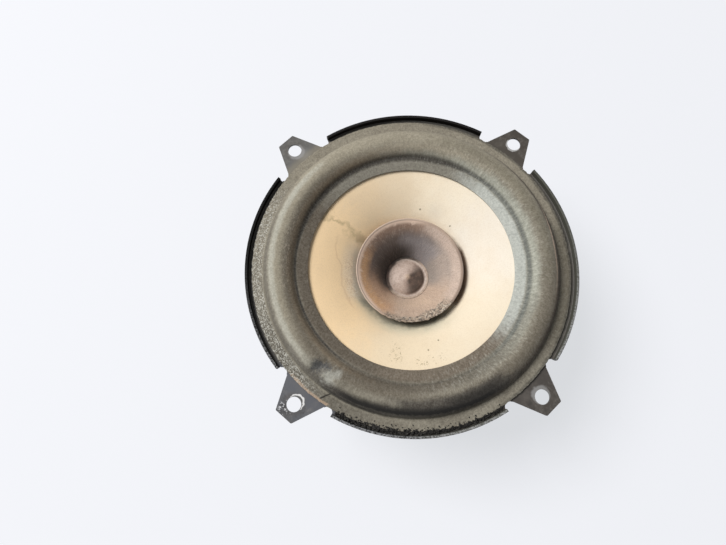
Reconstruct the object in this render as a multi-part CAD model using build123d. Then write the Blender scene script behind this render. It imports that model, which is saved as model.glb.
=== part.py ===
from build123d import *
from math import acos, atan2, cos, degrees, radians, sin, tan
import os

# Dual-cone car loudspeaker of the 13 cm class, in millimetres.
# The origin is the centre of the four ear holes, on the rear (mounting) face of the flange.
# +Z points out of the cone towards the listener, +Y is up and the terminals are at -Y.

# ---- Pressed steel basket ----
SHEET = 1.0                    # thickness of the steel sheet
LIP_RADIUS = 65.0              # outside of the upturned lips
LIP_TOP = 3.5                  # top of the lips above the mounting face
FLANGE_INNER = 57.5            # where the flange turns down into the bowl
HOLE_SPACING_X = 92.0          # ear holes, centre to centre
HOLE_SPACING_Y = 103.2
EAR_HOLE_RADIUS = 2.8
EAR_TIP_RADIUS = 74.9          # flat outer end of an ear, from the axis
EAR_TIP_HALF_WIDTH = 3.8
EAR_BASE_RADIUS = 62.85
EAR_BASE_HALF_WIDTH = 9.06
EAR_ROOT_RADIUS = 59.5         # inner end of an ear, within the flange
EAR_CORNER = 0.5
GAP_RADIUS = 63.4              # flange edge beside the ears, where there is no lip
SIDE_LIP_HALF_ANGLE = 36.4     # left and right lips
END_LIP_HALF_ANGLE = 30.2      # top and bottom lips
NOTCH_WIDTH = 4.0              # relief notch between an ear and a lip
NOTCH_BOTTOM = 62.4
NOTCH_ANGLE = 10.05            # from the ear's centreline
NOTCH_REACH = 10.0             # long enough to run out past the edge
BOWL_SHOULDER = (55.5, -7.5)   # mid-sheet corners of the bowl, as (radius, height)
BOWL_KNEE = (36.0, -25.9)
LEDGE_INNER = (28.0, -25.9)
FLOOR_OUTER = (26.3, -32.5)
FLOOR_INNER = (15.0, -32.5)
BEND_RADII = (0.8, 1.5, 4.0, 2.0, 1.5, 1.5)
WINDOW_INNER = 38.5
WINDOW_OUTER = 52.5
WINDOW_CORNER = 3.0
LEG_WIDTH = 15.0
RIB_RADIUS = 2.6               # outside of the pressed rib along each leg
RIB_START_SHARE = 0.2          # of the leg's length, from the shoulder
RIB_END_SHARE = 0.82
TAB_WIDTH = 8.0                # tongue that carries the terminal board
TAB_ROOT = 32.0
TAB_OUTER = 47.5
TAB_CORNER = 2.0

# ---- Motor ----
FLOOR_BOTTOM = FLOOR_INNER[1] - SHEET / 2
PLATE_THICKNESS = 4.0
FRONT_PLATE_RADIUS = 30.0
GAP_OUTER_RADIUS = 10.8        # wall of the magnetic gap
MAGNET_RADIUS = 35.0
MAGNET_HOLE_RADIUS = 16.0
MAGNET_THICKNESS = 12.0
BACK_PLATE_RADIUS = 32.5
POLE_RADIUS = 9.1
EDGE_BREAK = 0.8
MOTOR_RIVET_CIRCLE = 21.0
MOTOR_RIVET_RADIUS = 1.5
MOTOR_RIVET_HEAD = ((2.8, 0.0), (2.4, 0.8), (1.8, 1.0), (0.0, 1.0))  # (radius, height over the floor)
RIVET_CLEARANCE = 0.05
MAGNET_TOP = FLOOR_BOTTOM - PLATE_THICKNESS
MAGNET_BOTTOM = MAGNET_TOP - MAGNET_THICKNESS
MOTOR_BOTTOM = MAGNET_BOTTOM - PLATE_THICKNESS

# ---- Cones and coil ----
CONE_THICKNESS = 0.6
CONE_NECK = (9.75, -21.4)      # front face, as (radius, height)
CONE_MIDDLE = (22.0, -8.2)
CONE_RIM = (46.2, 2.2)
WHIZZER_THICKNESS = 0.45
WHIZZER_THROAT = (9.0, -19.4)
WHIZZER_MIDDLE = (13.2, -11.2)
WHIZZER_RIM = (21.6, -3.6)
WHIZZER_NECK_TOP = -20.0
WHIZZER_NECK_END = -21.6
DUST_CAP_FLANGE = 8.95
DUST_CAP_DOME = 7.5
DUST_CAP_HEIGHT = 2.2
DUST_CAP_SHOULDER = (4.1, 0.62)   # radius, and drop below the crown
DUST_CAP_SEAT = -19.2
DUST_CAP_THICKNESS = 0.4
FORMER_INNER = 9.5
FORMER_OUTER = 9.7
FORMER_TOP = -19.8
FORMER_BOTTOM = -39.8
WINDING_OUTER = 10.2
WINDING_LENGTH = 8.0
GLUE_WIDTH = 0.9
GLUE_DEPTH = 1.3               # of the fillet behind the cone
GLUE_DROP = 0.1                # of the front fillet below the former's end
GLUE_GAP = 0.02                # kept from the paper

# ---- Suspension ----
FOAM_THICKNESS = 0.8
FOAM_LIFT = 0.15               # glue gap between the cone and the foam's inner band
BAND_INNER = 40.8
ROLL_TOP = (52.0, 7.6)
ROLL_OUTER = 58.0
FOAM_OUTER = 62.6
CEMENT_THICKNESS = 0.1
CEMENT_INSET = 0.2
SPIDER_CEMENT_INNER = 28.6
SEALANT_INNER = 62.75
SEALANT_OUTER = 63.7
SEALANT_HEIGHT = 1.1
SEALANT_HALF_ANGLE = 29.2
SPIDER_THICKNESS = 0.5
SPIDER_INNER = 9.85
SPIDER_WAVE_START = 11.2
SPIDER_HALF_WAVE = 2.4
SPIDER_HALF_WAVES = 7
SPIDER_WAVE_HEIGHT = 0.55
SPIDER_OUTER = 32.8

# ---- Terminals and leads ----
BOARD_WIDTH = 23.0
BOARD_THICKNESS = 1.5
BOARD_INNER = 36.0             # distances from the axis, towards -Y
BOARD_OUTER = 50.5
BOARD_CORNER = 1.5
BOARD_SLACK = 0.3              # between the board and the basket
BOARD_HEADROOM = 10.0
SPADE_THICKNESS = 0.8
SPADE_SPACING = 14.0           # between the two spades' centrelines
SPADE_INNER = 37.0
SPADE_OUTER = 59.0
SPADE_SHOULDER = (49.0, 50.6)  # where the base narrows to the blade
SPADE_TIP = (0.7, 1.0)         # bevel of the blade's tip, across and along
SPADE_HOLE_RADIUS = 0.6
SPADE_HOLE_CENTRE = 55.8
WIDE_SPADE = 4.8
NARROW_SPADE = 2.8
SPADE_BASE_WIDTH = 5.6
RIVET_LINE = 44.0              # all three rivets lie on this line
SMALL_RIVET_RADIUS = 1.2
SMALL_RIVET_HEAD = 2.1
SMALL_HEAD_THICKNESS = 0.5
SMALL_HEAD_BEVEL = 0.3
SOLDER_RADIUS = 1.4
SOLDER_TOP_RADIUS = 0.75
SOLDER_HEIGHT = 0.8
EYELET_ORBIT = 16.0            # radius of the eyelets in the cone
EYELET_RADIUS = 1.0
EYELET_HEAD = 1.7
EYELET_HEAD_THICKNESS = 0.25
EYELET_SLACK = 0.1             # between the eyelet's flat heads and the curved paper
EYELET_BACK = -CONE_THICKNESS - EYELET_SLACK - EYELET_HEAD_THICKNESS
LEAD_DIAMETER = 1.0
LEAD_END_GAP = 0.15            # between the lead's end and the eyelet's solder
LEAD_BEND_SHARE = 0.45         # of the shorter run, taken up by each bend
COIL_WIRE_RADIUS = 0.15
COIL_WIRE_START = 11.4         # distance from the axis, just outside the neck's glue

LEDGE_TOP = LEDGE_INNER[1] + SHEET / 2
BOARD_TOP = LEDGE_TOP + BOARD_THICKNESS
SPADE_TOP = BOARD_TOP + SPADE_THICKNESS
EAR_ANGLE = degrees(atan2(HOLE_SPACING_Y, HOLE_SPACING_X))
EAR_ANGLES = (EAR_ANGLE, 180 - EAR_ANGLE, 180 + EAR_ANGLE, -EAR_ANGLE)
LEG_ANGLES = (45, 135, 225, 315)
CONE_ARC = ThreePointArc(CONE_NECK, CONE_MIDDLE, CONE_RIM)
WHIZZER_ARC = ThreePointArc(WHIZZER_THROAT, WHIZZER_MIDDLE, WHIZZER_RIM)

# Solder joint, terminal side first, to the back of the eyelet: (distance from the axis, height),
# both in the upright plane through the axis and the solder joint.
LEAD_START = (39.0, SPADE_TOP + SOLDER_HEIGHT)
POSITIVE_ROUTE = [(39.2, -17.4), (37.0, -13.0), (32.6, -12.6), (28.9, -16.2), (25.8, -19.4), (20.4, -19.3)]
NEGATIVE_ROUTE = [(39.1, -17.0), (37.4, -12.6), (33.0, -11.9), (29.0, -15.6), (26.0, -19.0), (20.6, -19.5)]
LEAD_ANGLE = degrees(atan2(SPADE_SPACING / 2, LEAD_START[0]))


def off_arc(arc, share, above):
    """Point at a share of an arc's length, moved off the arc towards the front."""
    point = arc @ share
    return point + (point - arc.arc_center).normalized() * above


def share_at_radius(arc, radius):
    """Share of the arc's length at which it has this distance from the axis."""
    def turn(value):
        return acos((value - arc.arc_center.X) / arc.radius)

    start, end = turn((arc @ 0).X), turn((arc @ 1).X)
    return (turn(radius) - start) / (end - start)


def arc_beside(arc, start, end, above):
    """Arc with the same centre, between two shares, moved off towards the front."""
    return ThreePointArc(*[off_arc(arc, share, above) for share in (start, (start + end) / 2, end)])


def turned(*outline):
    """Solid of revolution about Z from a closed outline drawn as (radius, height)."""
    return revolve(Plane.XZ * make_face(Curve() + list(outline)), Axis.Z)


def ring(inner, outer, low, high, edge_break=0.0):
    """Washer-shaped solid, with its outer edges broken if asked."""
    outline = [
        (inner, low),
        (outer - edge_break, low),
        (outer, low + edge_break),
        (outer, high - edge_break),
        (outer - edge_break, high),
        (inner, high),
    ]
    if not edge_break:
        outline = [(inner, low), (outer, low), (outer, high), (inner, high)]
    return turned(Polyline(*outline, close=True))


def disc(radius, low, high):
    """Upright cylinder on the axis between two heights."""
    return Pos(0, 0, low) * Cylinder(radius, high - low, align=(Align.CENTER, Align.CENTER, Align.MIN))


def slab(sketch, low, high):
    """Flat sketch raised into a plate between two heights."""
    return Pos(0, 0, low) * extrude(sketch, high - low, dir=(0, 0, 1))


def sector(start, end):
    """Wide wedge of the plane between two angles in degrees."""
    reach = 2 * LIP_RADIUS
    edges = [(reach * cos(radians(angle)), reach * sin(radians(angle))) for angle in (start, end)]
    return Polygon((0, 0), *edges, align=None)


# ---- Basket ----

def bowl():
    """The whole pressing before its edge is trimmed: lip, flange, bowl, ledge and floor."""
    middle = SHEET / 2
    path = FilletPolyline(
        (LIP_RADIUS - middle, LIP_TOP),
        (LIP_RADIUS - middle, middle),
        (FLANGE_INNER, middle),
        BOWL_SHOULDER,
        BOWL_KNEE,
        LEDGE_INNER,
        FLOOR_OUTER,
        FLOOR_INNER,
        radius=BEND_RADII,
    )
    return revolve(Plane.XZ * trace(path, SHEET), Axis.Z)


def lip_gaps():
    """Everything outside the flange edge at the four ears, where the lip is cut away."""
    edge = Circle(LIP_RADIUS + 1) - Circle(GAP_RADIUS)
    low, high = SIDE_LIP_HALF_ANGLE, 90 - END_LIP_HALF_ANGLE
    spans = [(low, high), (180 - high, 180 - low), (180 + low, 180 + high), (-high, -low)]
    gaps = [edge & sector(*span) for span in spans]
    return slab(Sketch() + gaps, -SHEET, LIP_TOP + SHEET)


def ear():
    """One trapezoid ear pointing along +X."""
    outline = Polygon(
        (EAR_ROOT_RADIUS, -EAR_BASE_HALF_WIDTH),
        (EAR_BASE_RADIUS, -EAR_BASE_HALF_WIDTH),
        (EAR_TIP_RADIUS, -EAR_TIP_HALF_WIDTH),
        (EAR_TIP_RADIUS, EAR_TIP_HALF_WIDTH),
        (EAR_BASE_RADIUS, EAR_BASE_HALF_WIDTH),
        (EAR_ROOT_RADIUS, EAR_BASE_HALF_WIDTH),
        align=None,
    )
    tips = outline.vertices().sort_by(Axis.X)[-2:]
    return slab(fillet(tips, EAR_CORNER), 0, SHEET)


def notch(side):
    """Round-bottomed relief notch beside an ear that points along +X."""
    centre = NOTCH_BOTTOM + NOTCH_WIDTH / 2
    mouth = Pos(centre + NOTCH_REACH / 2, 0) * Rectangle(NOTCH_REACH, NOTCH_WIDTH)
    shape = mouth + Pos(centre, 0) * Circle(NOTCH_WIDTH / 2)
    return Rot(0, 0, side * NOTCH_ANGLE) * slab(shape, -SHEET, LIP_TOP + SHEET)


def windows():
    """Four openings between the legs, punched straight down through the bowl."""
    openings = Circle(WINDOW_OUTER) - Circle(WINDOW_INNER)
    for angle in LEG_ANGLES[:2]:
        openings -= Rot(0, 0, angle) * Rectangle(2 * LIP_RADIUS, LEG_WIDTH)
    openings = fillet(openings.vertices(), WINDOW_CORNER)
    return slab(openings, BOWL_KNEE[1] - 2 * SHEET, BOWL_SHOULDER[1] + 3 * SHEET)


def capsule(radius, length):
    """Round-ended bar from the origin along +X."""
    bar = Rot(0, 90, 0) * Cylinder(radius, length, align=(Align.CENTER, Align.CENTER, Align.MIN))
    return bar + Sphere(radius) + Pos(length, 0, 0) * Sphere(radius)


def leg_rib():
    """Outside and inside of the rib on the leg above the +X axis."""
    shoulder, knee = Vector(BOWL_SHOULDER[0], 0, BOWL_SHOULDER[1]), Vector(BOWL_KNEE[0], 0, BOWL_KNEE[1])
    start = shoulder + (knee - shoulder) * RIB_START_SHARE
    end = shoulder + (knee - shoulder) * RIB_END_SHARE
    along = (end - start).normalized()
    outward = along.cross(Vector(0, 1, 0))
    if outward.X < 0:
        outward = outward * -1
    place = Plane(origin=start, x_dir=along, z_dir=outward)
    length = (end - start).length
    outside_half = Box(4 * length, 4 * length, length, align=(Align.CENTER, Align.CENTER, Align.MIN))
    outer = place * (capsule(RIB_RADIUS, length) & outside_half)
    inner = place * capsule(RIB_RADIUS - SHEET, length)
    return outer, inner


def through_holes(places, radius, low, high):
    """Straight holes at the given (x, y) places."""
    return [Pos(x, y) * disc(radius, low, high) for x, y in places]


def ear_hole_places():
    """Centres of the four ear holes."""
    return [(x * HOLE_SPACING_X / 2, y * HOLE_SPACING_Y / 2) for x in (-1, 1) for y in (-1, 1)]


def motor_rivet_places():
    """Centres of the four rivets that hold the basket to the front plate."""
    turns = [radians(angle) for angle in LEG_ANGLES]
    return [(MOTOR_RIVET_CIRCLE * cos(turn), MOTOR_RIVET_CIRCLE * sin(turn)) for turn in turns]


def terminal_cutout():
    """Space for the terminal board, cut above the ledge's level through the lower window's sill."""
    depth = BOARD_OUTER - BOARD_INNER + 2 * BOARD_SLACK
    width = BOARD_WIDTH + 2 * BOARD_SLACK
    place = Pos(0, -(BOARD_INNER + BOARD_OUTER) / 2, LEDGE_TOP)
    return place * Box(width, depth, BOARD_HEADROOM, align=(Align.CENTER, Align.CENTER, Align.MIN))


def terminal_tab():
    """Tongue that carries the terminal board, level with the ledge."""
    shape = Pos(0, -(TAB_ROOT + TAB_OUTER) / 2) * Rectangle(TAB_WIDTH, TAB_OUTER - TAB_ROOT)
    ends = shape.vertices().sort_by(Axis.Y)[:2]
    return slab(fillet(ends, TAB_CORNER), LEDGE_TOP - SHEET, LEDGE_TOP)


def basket():
    """The finished pressing."""
    part = bowl() - lip_gaps()
    for angle in EAR_ANGLES:
        part += Rot(0, 0, angle) * ear()
    for angle in EAR_ANGLES:
        part -= Rot(0, 0, angle) * notch(1)
        part -= Rot(0, 0, angle) * notch(-1)
    part -= windows()
    rib_outer, rib_inner = leg_rib()
    for angle in LEG_ANGLES:
        part += Rot(0, 0, angle) * rib_outer
    for angle in LEG_ANGLES:
        part -= Rot(0, 0, angle) * rib_inner
    part -= terminal_cutout()
    part += terminal_tab()
    cuts = through_holes(ear_hole_places(), EAR_HOLE_RADIUS, -SHEET, 2 * SHEET)
    rivet_hole = MOTOR_RIVET_RADIUS + RIVET_CLEARANCE
    cuts += through_holes(motor_rivet_places(), rivet_hole, FLOOR_BOTTOM - SHEET, FLOOR_BOTTOM + 2 * SHEET)
    board_hole = SMALL_RIVET_RADIUS + RIVET_CLEARANCE
    cuts += through_holes([(0, -RIVET_LINE)], board_hole, LEDGE_TOP - 2 * SHEET, LEDGE_TOP + SHEET)
    for cut in cuts:
        part -= cut
    return part


# ---- Motor ----

def front_plate():
    plate = ring(GAP_OUTER_RADIUS, FRONT_PLATE_RADIUS, MAGNET_TOP, FLOOR_BOTTOM, EDGE_BREAK)
    rivet_hole = MOTOR_RIVET_RADIUS + RIVET_CLEARANCE
    for cut in through_holes(motor_rivet_places(), rivet_hole, MAGNET_TOP - SHEET, FLOOR_BOTTOM + SHEET):
        plate -= cut
    return plate


def magnet():
    return ring(MAGNET_HOLE_RADIUS, MAGNET_RADIUS, MAGNET_BOTTOM, MAGNET_TOP, EDGE_BREAK)


def back_plate():
    return ring(POLE_RADIUS, BACK_PLATE_RADIUS, MOTOR_BOTTOM, MAGNET_BOTTOM, EDGE_BREAK)


def pole_piece():
    outline = Polyline(
        (0, MOTOR_BOTTOM),
        (POLE_RADIUS, MOTOR_BOTTOM),
        (POLE_RADIUS, FLOOR_BOTTOM - EDGE_BREAK),
        (POLE_RADIUS - EDGE_BREAK, FLOOR_BOTTOM),
        (0, FLOOR_BOTTOM),
        close=True,
    )
    return turned(outline)


def motor_rivets():
    """Low domed heads on the basket floor, with shanks down through the front plate."""
    floor_top = FLOOR_BOTTOM + SHEET
    head = Polyline(
        (0, MAGNET_TOP),
        (MOTOR_RIVET_RADIUS, MAGNET_TOP),
        (MOTOR_RIVET_RADIUS, floor_top),
        *[(radius, floor_top + height) for radius, height in MOTOR_RIVET_HEAD],
        close=True,
    )
    return [Pos(x, y) * turned(head) for x, y in motor_rivet_places()]


# ---- Cones and coil ----

def cone():
    upper = arc_beside(CONE_ARC, 0, 1, 0)
    lower = arc_beside(CONE_ARC, 0, 1, -CONE_THICKNESS)
    body = turned(upper, lower, Line(upper @ 0, lower @ 0), Line(upper @ 1, lower @ 1))
    for side in (1, -1):
        body -= eyelet_place(side) * Cylinder(EYELET_RADIUS + RIVET_CLEARANCE, 10 * CONE_THICKNESS)
    return body


def whizzer_cone():
    """Horn-shaped high-frequency cone, with a short neck inside the coil former."""
    neck = WHIZZER_THROAT[0] + WHIZZER_THICKNESS
    upper = arc_beside(WHIZZER_ARC, 0, 1, 0)
    lower = arc_beside(WHIZZER_ARC, 0, 1, -WHIZZER_THICKNESS)
    return turned(
        upper,
        lower,
        Line(upper @ 1, lower @ 1),
        Polyline(lower @ 0, (neck, WHIZZER_NECK_TOP), (neck, WHIZZER_NECK_END),
                 (WHIZZER_THROAT[0], WHIZZER_NECK_END), upper @ 0),
    )


def dust_cap():
    """Shallow dome with a flat flange ring around it."""
    seat, flange_top = DUST_CAP_SEAT, DUST_CAP_SEAT + DUST_CAP_THICKNESS
    crown = flange_top + DUST_CAP_HEIGHT
    half, drop = DUST_CAP_SHOULDER
    outside = ThreePointArc((0, crown), (half, crown - drop), (DUST_CAP_DOME, flange_top))
    inside = ThreePointArc(
        (0, crown - DUST_CAP_THICKNESS),
        (half, crown - drop - DUST_CAP_THICKNESS),
        (DUST_CAP_DOME - DUST_CAP_THICKNESS, seat),
    )
    flange = Polyline(outside @ 1, (DUST_CAP_FLANGE, flange_top), (DUST_CAP_FLANGE, seat), inside @ 1)
    return turned(outside, flange, inside, Line(inside @ 0, outside @ 0))


def voice_coil_former():
    return ring(FORMER_INNER, FORMER_OUTER, FORMER_BOTTOM, FORMER_TOP)


def voice_coil_winding():
    """Winding centred on the front plate's height."""
    middle = (FLOOR_BOTTOM + MAGNET_TOP) / 2
    return ring(FORMER_OUTER, WINDING_OUTER, middle - WINDING_LENGTH / 2, middle + WINDING_LENGTH / 2)


def neck_glue():
    """Fillets of glue where the cone meets the coil former, in front and behind."""
    outer = FORMER_OUTER + GLUE_WIDTH
    share = share_at_radius(CONE_ARC, outer)
    front_neck = CONE_ARC @ 0 + Vector(0, GLUE_GAP)
    front = Polyline(
        (FORMER_OUTER, FORMER_TOP - GLUE_DROP),
        (FORMER_OUTER, front_neck.Y),
        front_neck,
        off_arc(CONE_ARC, share, GLUE_GAP),
        close=True,
    )
    back_neck = off_arc(CONE_ARC, 0, -CONE_THICKNESS) - Vector(0, GLUE_GAP)
    back = Polyline(
        (FORMER_OUTER, back_neck.Y),
        back_neck,
        off_arc(CONE_ARC, share, -CONE_THICKNESS - GLUE_GAP),
        (FORMER_OUTER, back_neck.Y - GLUE_DEPTH),
        close=True,
    )
    return [turned(front), turned(back)]


# ---- Suspension ----

def surround():
    """Foam half roll with a flat outer edge and a band that lies along the cone."""
    start = share_at_radius(CONE_ARC, BAND_INNER)
    low, high = FOAM_LIFT, FOAM_LIFT + FOAM_THICKNESS
    band_top = arc_beside(CONE_ARC, start, 1, high)
    band_bottom = arc_beside(CONE_ARC, start, 1, low)
    flat_bottom = SHEET + CEMENT_THICKNESS
    flat_top = flat_bottom + FOAM_THICKNESS
    roll_top = ThreePointArc(band_top @ 1, ROLL_TOP, (ROLL_OUTER, flat_top))
    roll_bottom = ThreePointArc(
        band_bottom @ 1,
        (ROLL_TOP[0], ROLL_TOP[1] - FOAM_THICKNESS),
        (ROLL_OUTER - FOAM_THICKNESS, flat_bottom),
    )
    edge = Polyline(roll_top @ 1, (FOAM_OUTER, flat_top), (FOAM_OUTER, flat_bottom), roll_bottom @ 1)
    return turned(band_top, roll_top, edge, roll_bottom, band_bottom,
                  Line(band_bottom @ 0, band_top @ 0))


def surround_cement():
    return ring(ROLL_OUTER + CEMENT_INSET, FOAM_OUTER - CEMENT_INSET, SHEET, SHEET + CEMENT_THICKNESS)


def edge_sealant():
    """Bead of old sealant between the foam's edge and the bottom lip."""
    low, high = SHEET, SHEET + SEALANT_HEIGHT
    bead = ring(SEALANT_INNER, SEALANT_OUTER, low, high)
    bottom = sector(270 - SEALANT_HALF_ANGLE, 270 + SEALANT_HALF_ANGLE)
    return bead & slab(bottom, low - SHEET, high + SHEET)


def spider():
    """Corrugated centring disc from the coil former to the basket ledge."""
    bottom = LEDGE_TOP + CEMENT_THICKNESS
    top = bottom + SPIDER_THICKNESS

    def face(height):
        """One side of the disc: flat, a train of half waves, flat."""
        wave_ends = [SPIDER_WAVE_START + n * SPIDER_HALF_WAVE for n in range(SPIDER_HALF_WAVES + 1)]
        edges = [Line((SPIDER_INNER, height), (wave_ends[0], height))]
        for n, (start, end) in enumerate(zip(wave_ends, wave_ends[1:])):
            swing = SPIDER_WAVE_HEIGHT if n % 2 else -SPIDER_WAVE_HEIGHT
            edges.append(ThreePointArc((start, height), ((start + end) / 2, height + swing), (end, height)))
        edges.append(Line((wave_ends[-1], height), (SPIDER_OUTER, height)))
        return edges

    ends = [Line((radius, bottom), (radius, top)) for radius in (SPIDER_INNER, SPIDER_OUTER)]
    return turned(*face(top), *face(bottom), *ends)


def spider_cement():
    return ring(SPIDER_CEMENT_INNER, SPIDER_OUTER - CEMENT_INSET, LEDGE_TOP, LEDGE_TOP + CEMENT_THICKNESS)


# ---- Terminals ----

def terminal_board():
    """Insulating board riveted to the basket's tongue."""
    shape = Pos(0, -(BOARD_INNER + BOARD_OUTER) / 2) * Rectangle(BOARD_WIDTH, BOARD_OUTER - BOARD_INNER)
    board = slab(fillet(shape.vertices(), BOARD_CORNER), LEDGE_TOP, BOARD_TOP)
    places = [(x, -RIVET_LINE) for x in (-SPADE_SPACING / 2, 0, SPADE_SPACING / 2)]
    board_hole = SMALL_RIVET_RADIUS + RIVET_CLEARANCE
    for cut in through_holes(places, board_hole, LEDGE_TOP - BOARD_THICKNESS, BOARD_TOP + BOARD_THICKNESS):
        board -= cut
    return board


def spade(side, blade_width):
    """Flat terminal: a riveted base on the board and a blade with a chamfered tip."""
    half_base, half_blade = SPADE_BASE_WIDTH / 2, blade_width / 2
    right = [
        (half_base, -SPADE_INNER),
        (half_base, -SPADE_SHOULDER[0]),
        (half_blade, -SPADE_SHOULDER[1]),
        (half_blade, SPADE_TIP[1] - SPADE_OUTER),
        (half_blade - SPADE_TIP[0], -SPADE_OUTER),
    ]
    left = [(-x, y) for x, y in reversed(right)]
    shape = Polygon(*right, *left, align=None)
    shape -= Pos(0, -RIVET_LINE) * Circle(SMALL_RIVET_RADIUS + RIVET_CLEARANCE)
    shape -= Pos(0, -SPADE_HOLE_CENTRE) * Circle(SPADE_HOLE_RADIUS)
    return Pos(side * SPADE_SPACING / 2, 0) * slab(shape, BOARD_TOP, SPADE_TOP)


def small_rivet(low, high):
    """Tubular rivet with a flat head at each end, gripping between two heights."""
    thick = SMALL_HEAD_THICKNESS
    bore = SMALL_RIVET_RADIUS / 2
    outline = Polyline(
        (bore, low - thick),
        (SMALL_RIVET_HEAD, low - thick),
        (SMALL_RIVET_HEAD, low),
        (SMALL_RIVET_RADIUS, low),
        (SMALL_RIVET_RADIUS, high),
        (SMALL_RIVET_HEAD, high),
        (SMALL_RIVET_HEAD - SMALL_HEAD_BEVEL, high + thick),
        (bore, high + thick),
        close=True,
    )
    return Pos(0, -RIVET_LINE) * turned(outline)


def terminal_rivets():
    return [Pos(side * SPADE_SPACING / 2, 0) * small_rivet(LEDGE_TOP, SPADE_TOP) for side in (-1, 1)]


def board_rivet():
    return small_rivet(LEDGE_TOP - SHEET, BOARD_TOP)


def solder_mound():
    """Blunt cone of solder standing on z = 0."""
    upright = (Align.CENTER, Align.CENTER, Align.MIN)
    return Cone(SOLDER_RADIUS, SOLDER_TOP_RADIUS, SOLDER_HEIGHT, align=upright)


def terminal_solder():
    """Solder on the spades, where the leads are joined."""
    foot = LEAD_START[1] - SOLDER_HEIGHT
    return [Pos(lead_point(side, LEAD_START[0], foot)) * solder_mound() for side in (1, -1)]


# ---- Leads ----

def lead_point(side, distance, height):
    """Point in the upright plane of one lead; side 1 is the positive one, at +X."""
    turn = radians(-90 + side * LEAD_ANGLE)
    return Vector(distance * cos(turn), distance * sin(turn), height)


def eyelet_place(side):
    """Location on the cone's front face at an eyelet, with its Z along the face's normal."""
    share = share_at_radius(CONE_ARC, EYELET_ORBIT)
    point = off_arc(CONE_ARC, share, 0)
    normal = off_arc(CONE_ARC, share, 1) - point
    plane = Plane(origin=(point.X, 0, point.Y), z_dir=(normal.X, 0, normal.Y))
    return Rot(0, 0, -90 + side * LEAD_ANGLE) * plane.location


def lead_eyelets():
    """Hollow rivets through the cone, one for each lead."""
    front, back = EYELET_SLACK, -CONE_THICKNESS - EYELET_SLACK
    bore = EYELET_RADIUS / 2
    outline = Polyline(
        (bore, EYELET_BACK),
        (EYELET_HEAD, EYELET_BACK),
        (EYELET_HEAD, back),
        (EYELET_RADIUS, back),
        (EYELET_RADIUS, front),
        (EYELET_HEAD, front),
        (EYELET_HEAD, front + EYELET_HEAD_THICKNESS),
        (bore, front + EYELET_HEAD_THICKNESS),
        close=True,
    )
    return [eyelet_place(side) * turned(outline) for side in (1, -1)]


def eyelet_solder():
    """Solder on the back of each eyelet, where the lead ends."""
    upside_down = Pos(0, 0, EYELET_BACK) * Rot(180, 0, 0)
    return [eyelet_place(side) * upside_down * solder_mound() for side in (1, -1)]


def round_bar(path, radius):
    """Round section swept along a path."""
    return sweep(Plane(origin=path @ 0, z_dir=path % 0) * Circle(radius), path)


def coil_lead_wires():
    """Fine wires from the coil's neck to the front of each eyelet."""
    wires = []
    for side in (1, -1):
        start, end = (
            off_arc(CONE_ARC, share_at_radius(CONE_ARC, radius), EYELET_HEAD_THICKNESS)
            for radius in (COIL_WIRE_START, EYELET_ORBIT - EYELET_HEAD)
        )
        path = Line(lead_point(side, start.X, start.Y), lead_point(side, end.X, end.Y))
        wires.append(round_bar(path, COIL_WIRE_RADIUS))
    return wires


def tinsel_lead(side, route):
    """Limp braided lead from a spade's solder to the back of its eyelet."""
    end = (eyelet_place(side) * Pos(0, 0, EYELET_BACK - SOLDER_HEIGHT - LEAD_END_GAP)).position
    points = [lead_point(side, *LEAD_START)]
    points += [lead_point(side, *place) for place in route]
    points.append(end)
    radii = bend_radii(points)
    path = FilletPolyline(*points, radius=radii)
    print("tinsel lead: length", round(path.length, 1), "radii", [round(radius, 1) for radius in radii])
    return round_bar(path, LEAD_DIAMETER / 2)


def bend_radii(points):
    """As large an arc at each corner as its two runs allow."""
    radii = []
    for before, corner, after in zip(points, points[1:], points[2:]):
        half_turn = radians((corner - before).get_angle(after - corner)) / 2
        shorter = min((corner - before).length, (after - corner).length)
        radii.append(LEAD_BEND_SHARE * shorter / tan(half_turn))
    return radii


# ---- Every piece in a file of its own ----

NODES = {
    "basket": basket,
    "front_plate": front_plate,
    "magnet": magnet,
    "back_plate": back_plate,
    "pole_piece": pole_piece,
    "motor_rivets": motor_rivets,
    "cone": cone,
    "whizzer_cone": whizzer_cone,
    "dust_cap": dust_cap,
    "voice_coil_former": voice_coil_former,
    "voice_coil_winding": voice_coil_winding,
    "neck_glue": neck_glue,
    "surround": surround,
    "surround_cement": surround_cement,
    "edge_sealant": edge_sealant,
    "spider": spider,
    "spider_cement": spider_cement,
    "terminal_board": terminal_board,
    "positive_spade": lambda: spade(1, WIDE_SPADE),
    "negative_spade": lambda: spade(-1, NARROW_SPADE),
    "terminal_rivets": terminal_rivets,
    "board_rivet": board_rivet,
    "terminal_solder": terminal_solder,
    "lead_eyelets": lead_eyelets,
    "eyelet_solder": eyelet_solder,
    "coil_lead_wires": coil_lead_wires,
    "positive_lead": lambda: tinsel_lead(1, POSITIVE_ROUTE),
    "negative_lead": lambda: tinsel_lead(-1, NEGATIVE_ROUTE),
}

os.makedirs("parts", exist_ok=True)
for name, make in NODES.items():
    shape = make()
    if isinstance(shape, list):
        shape = Compound(children=shape)
    export_step(shape, f"parts/{name}.step")
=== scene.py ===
from math import atan2, cos, hypot, pi, radians, sin, sqrt

import bmesh
import bpy
import numpy as np
from mathutils import Matrix, Vector, noise


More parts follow.
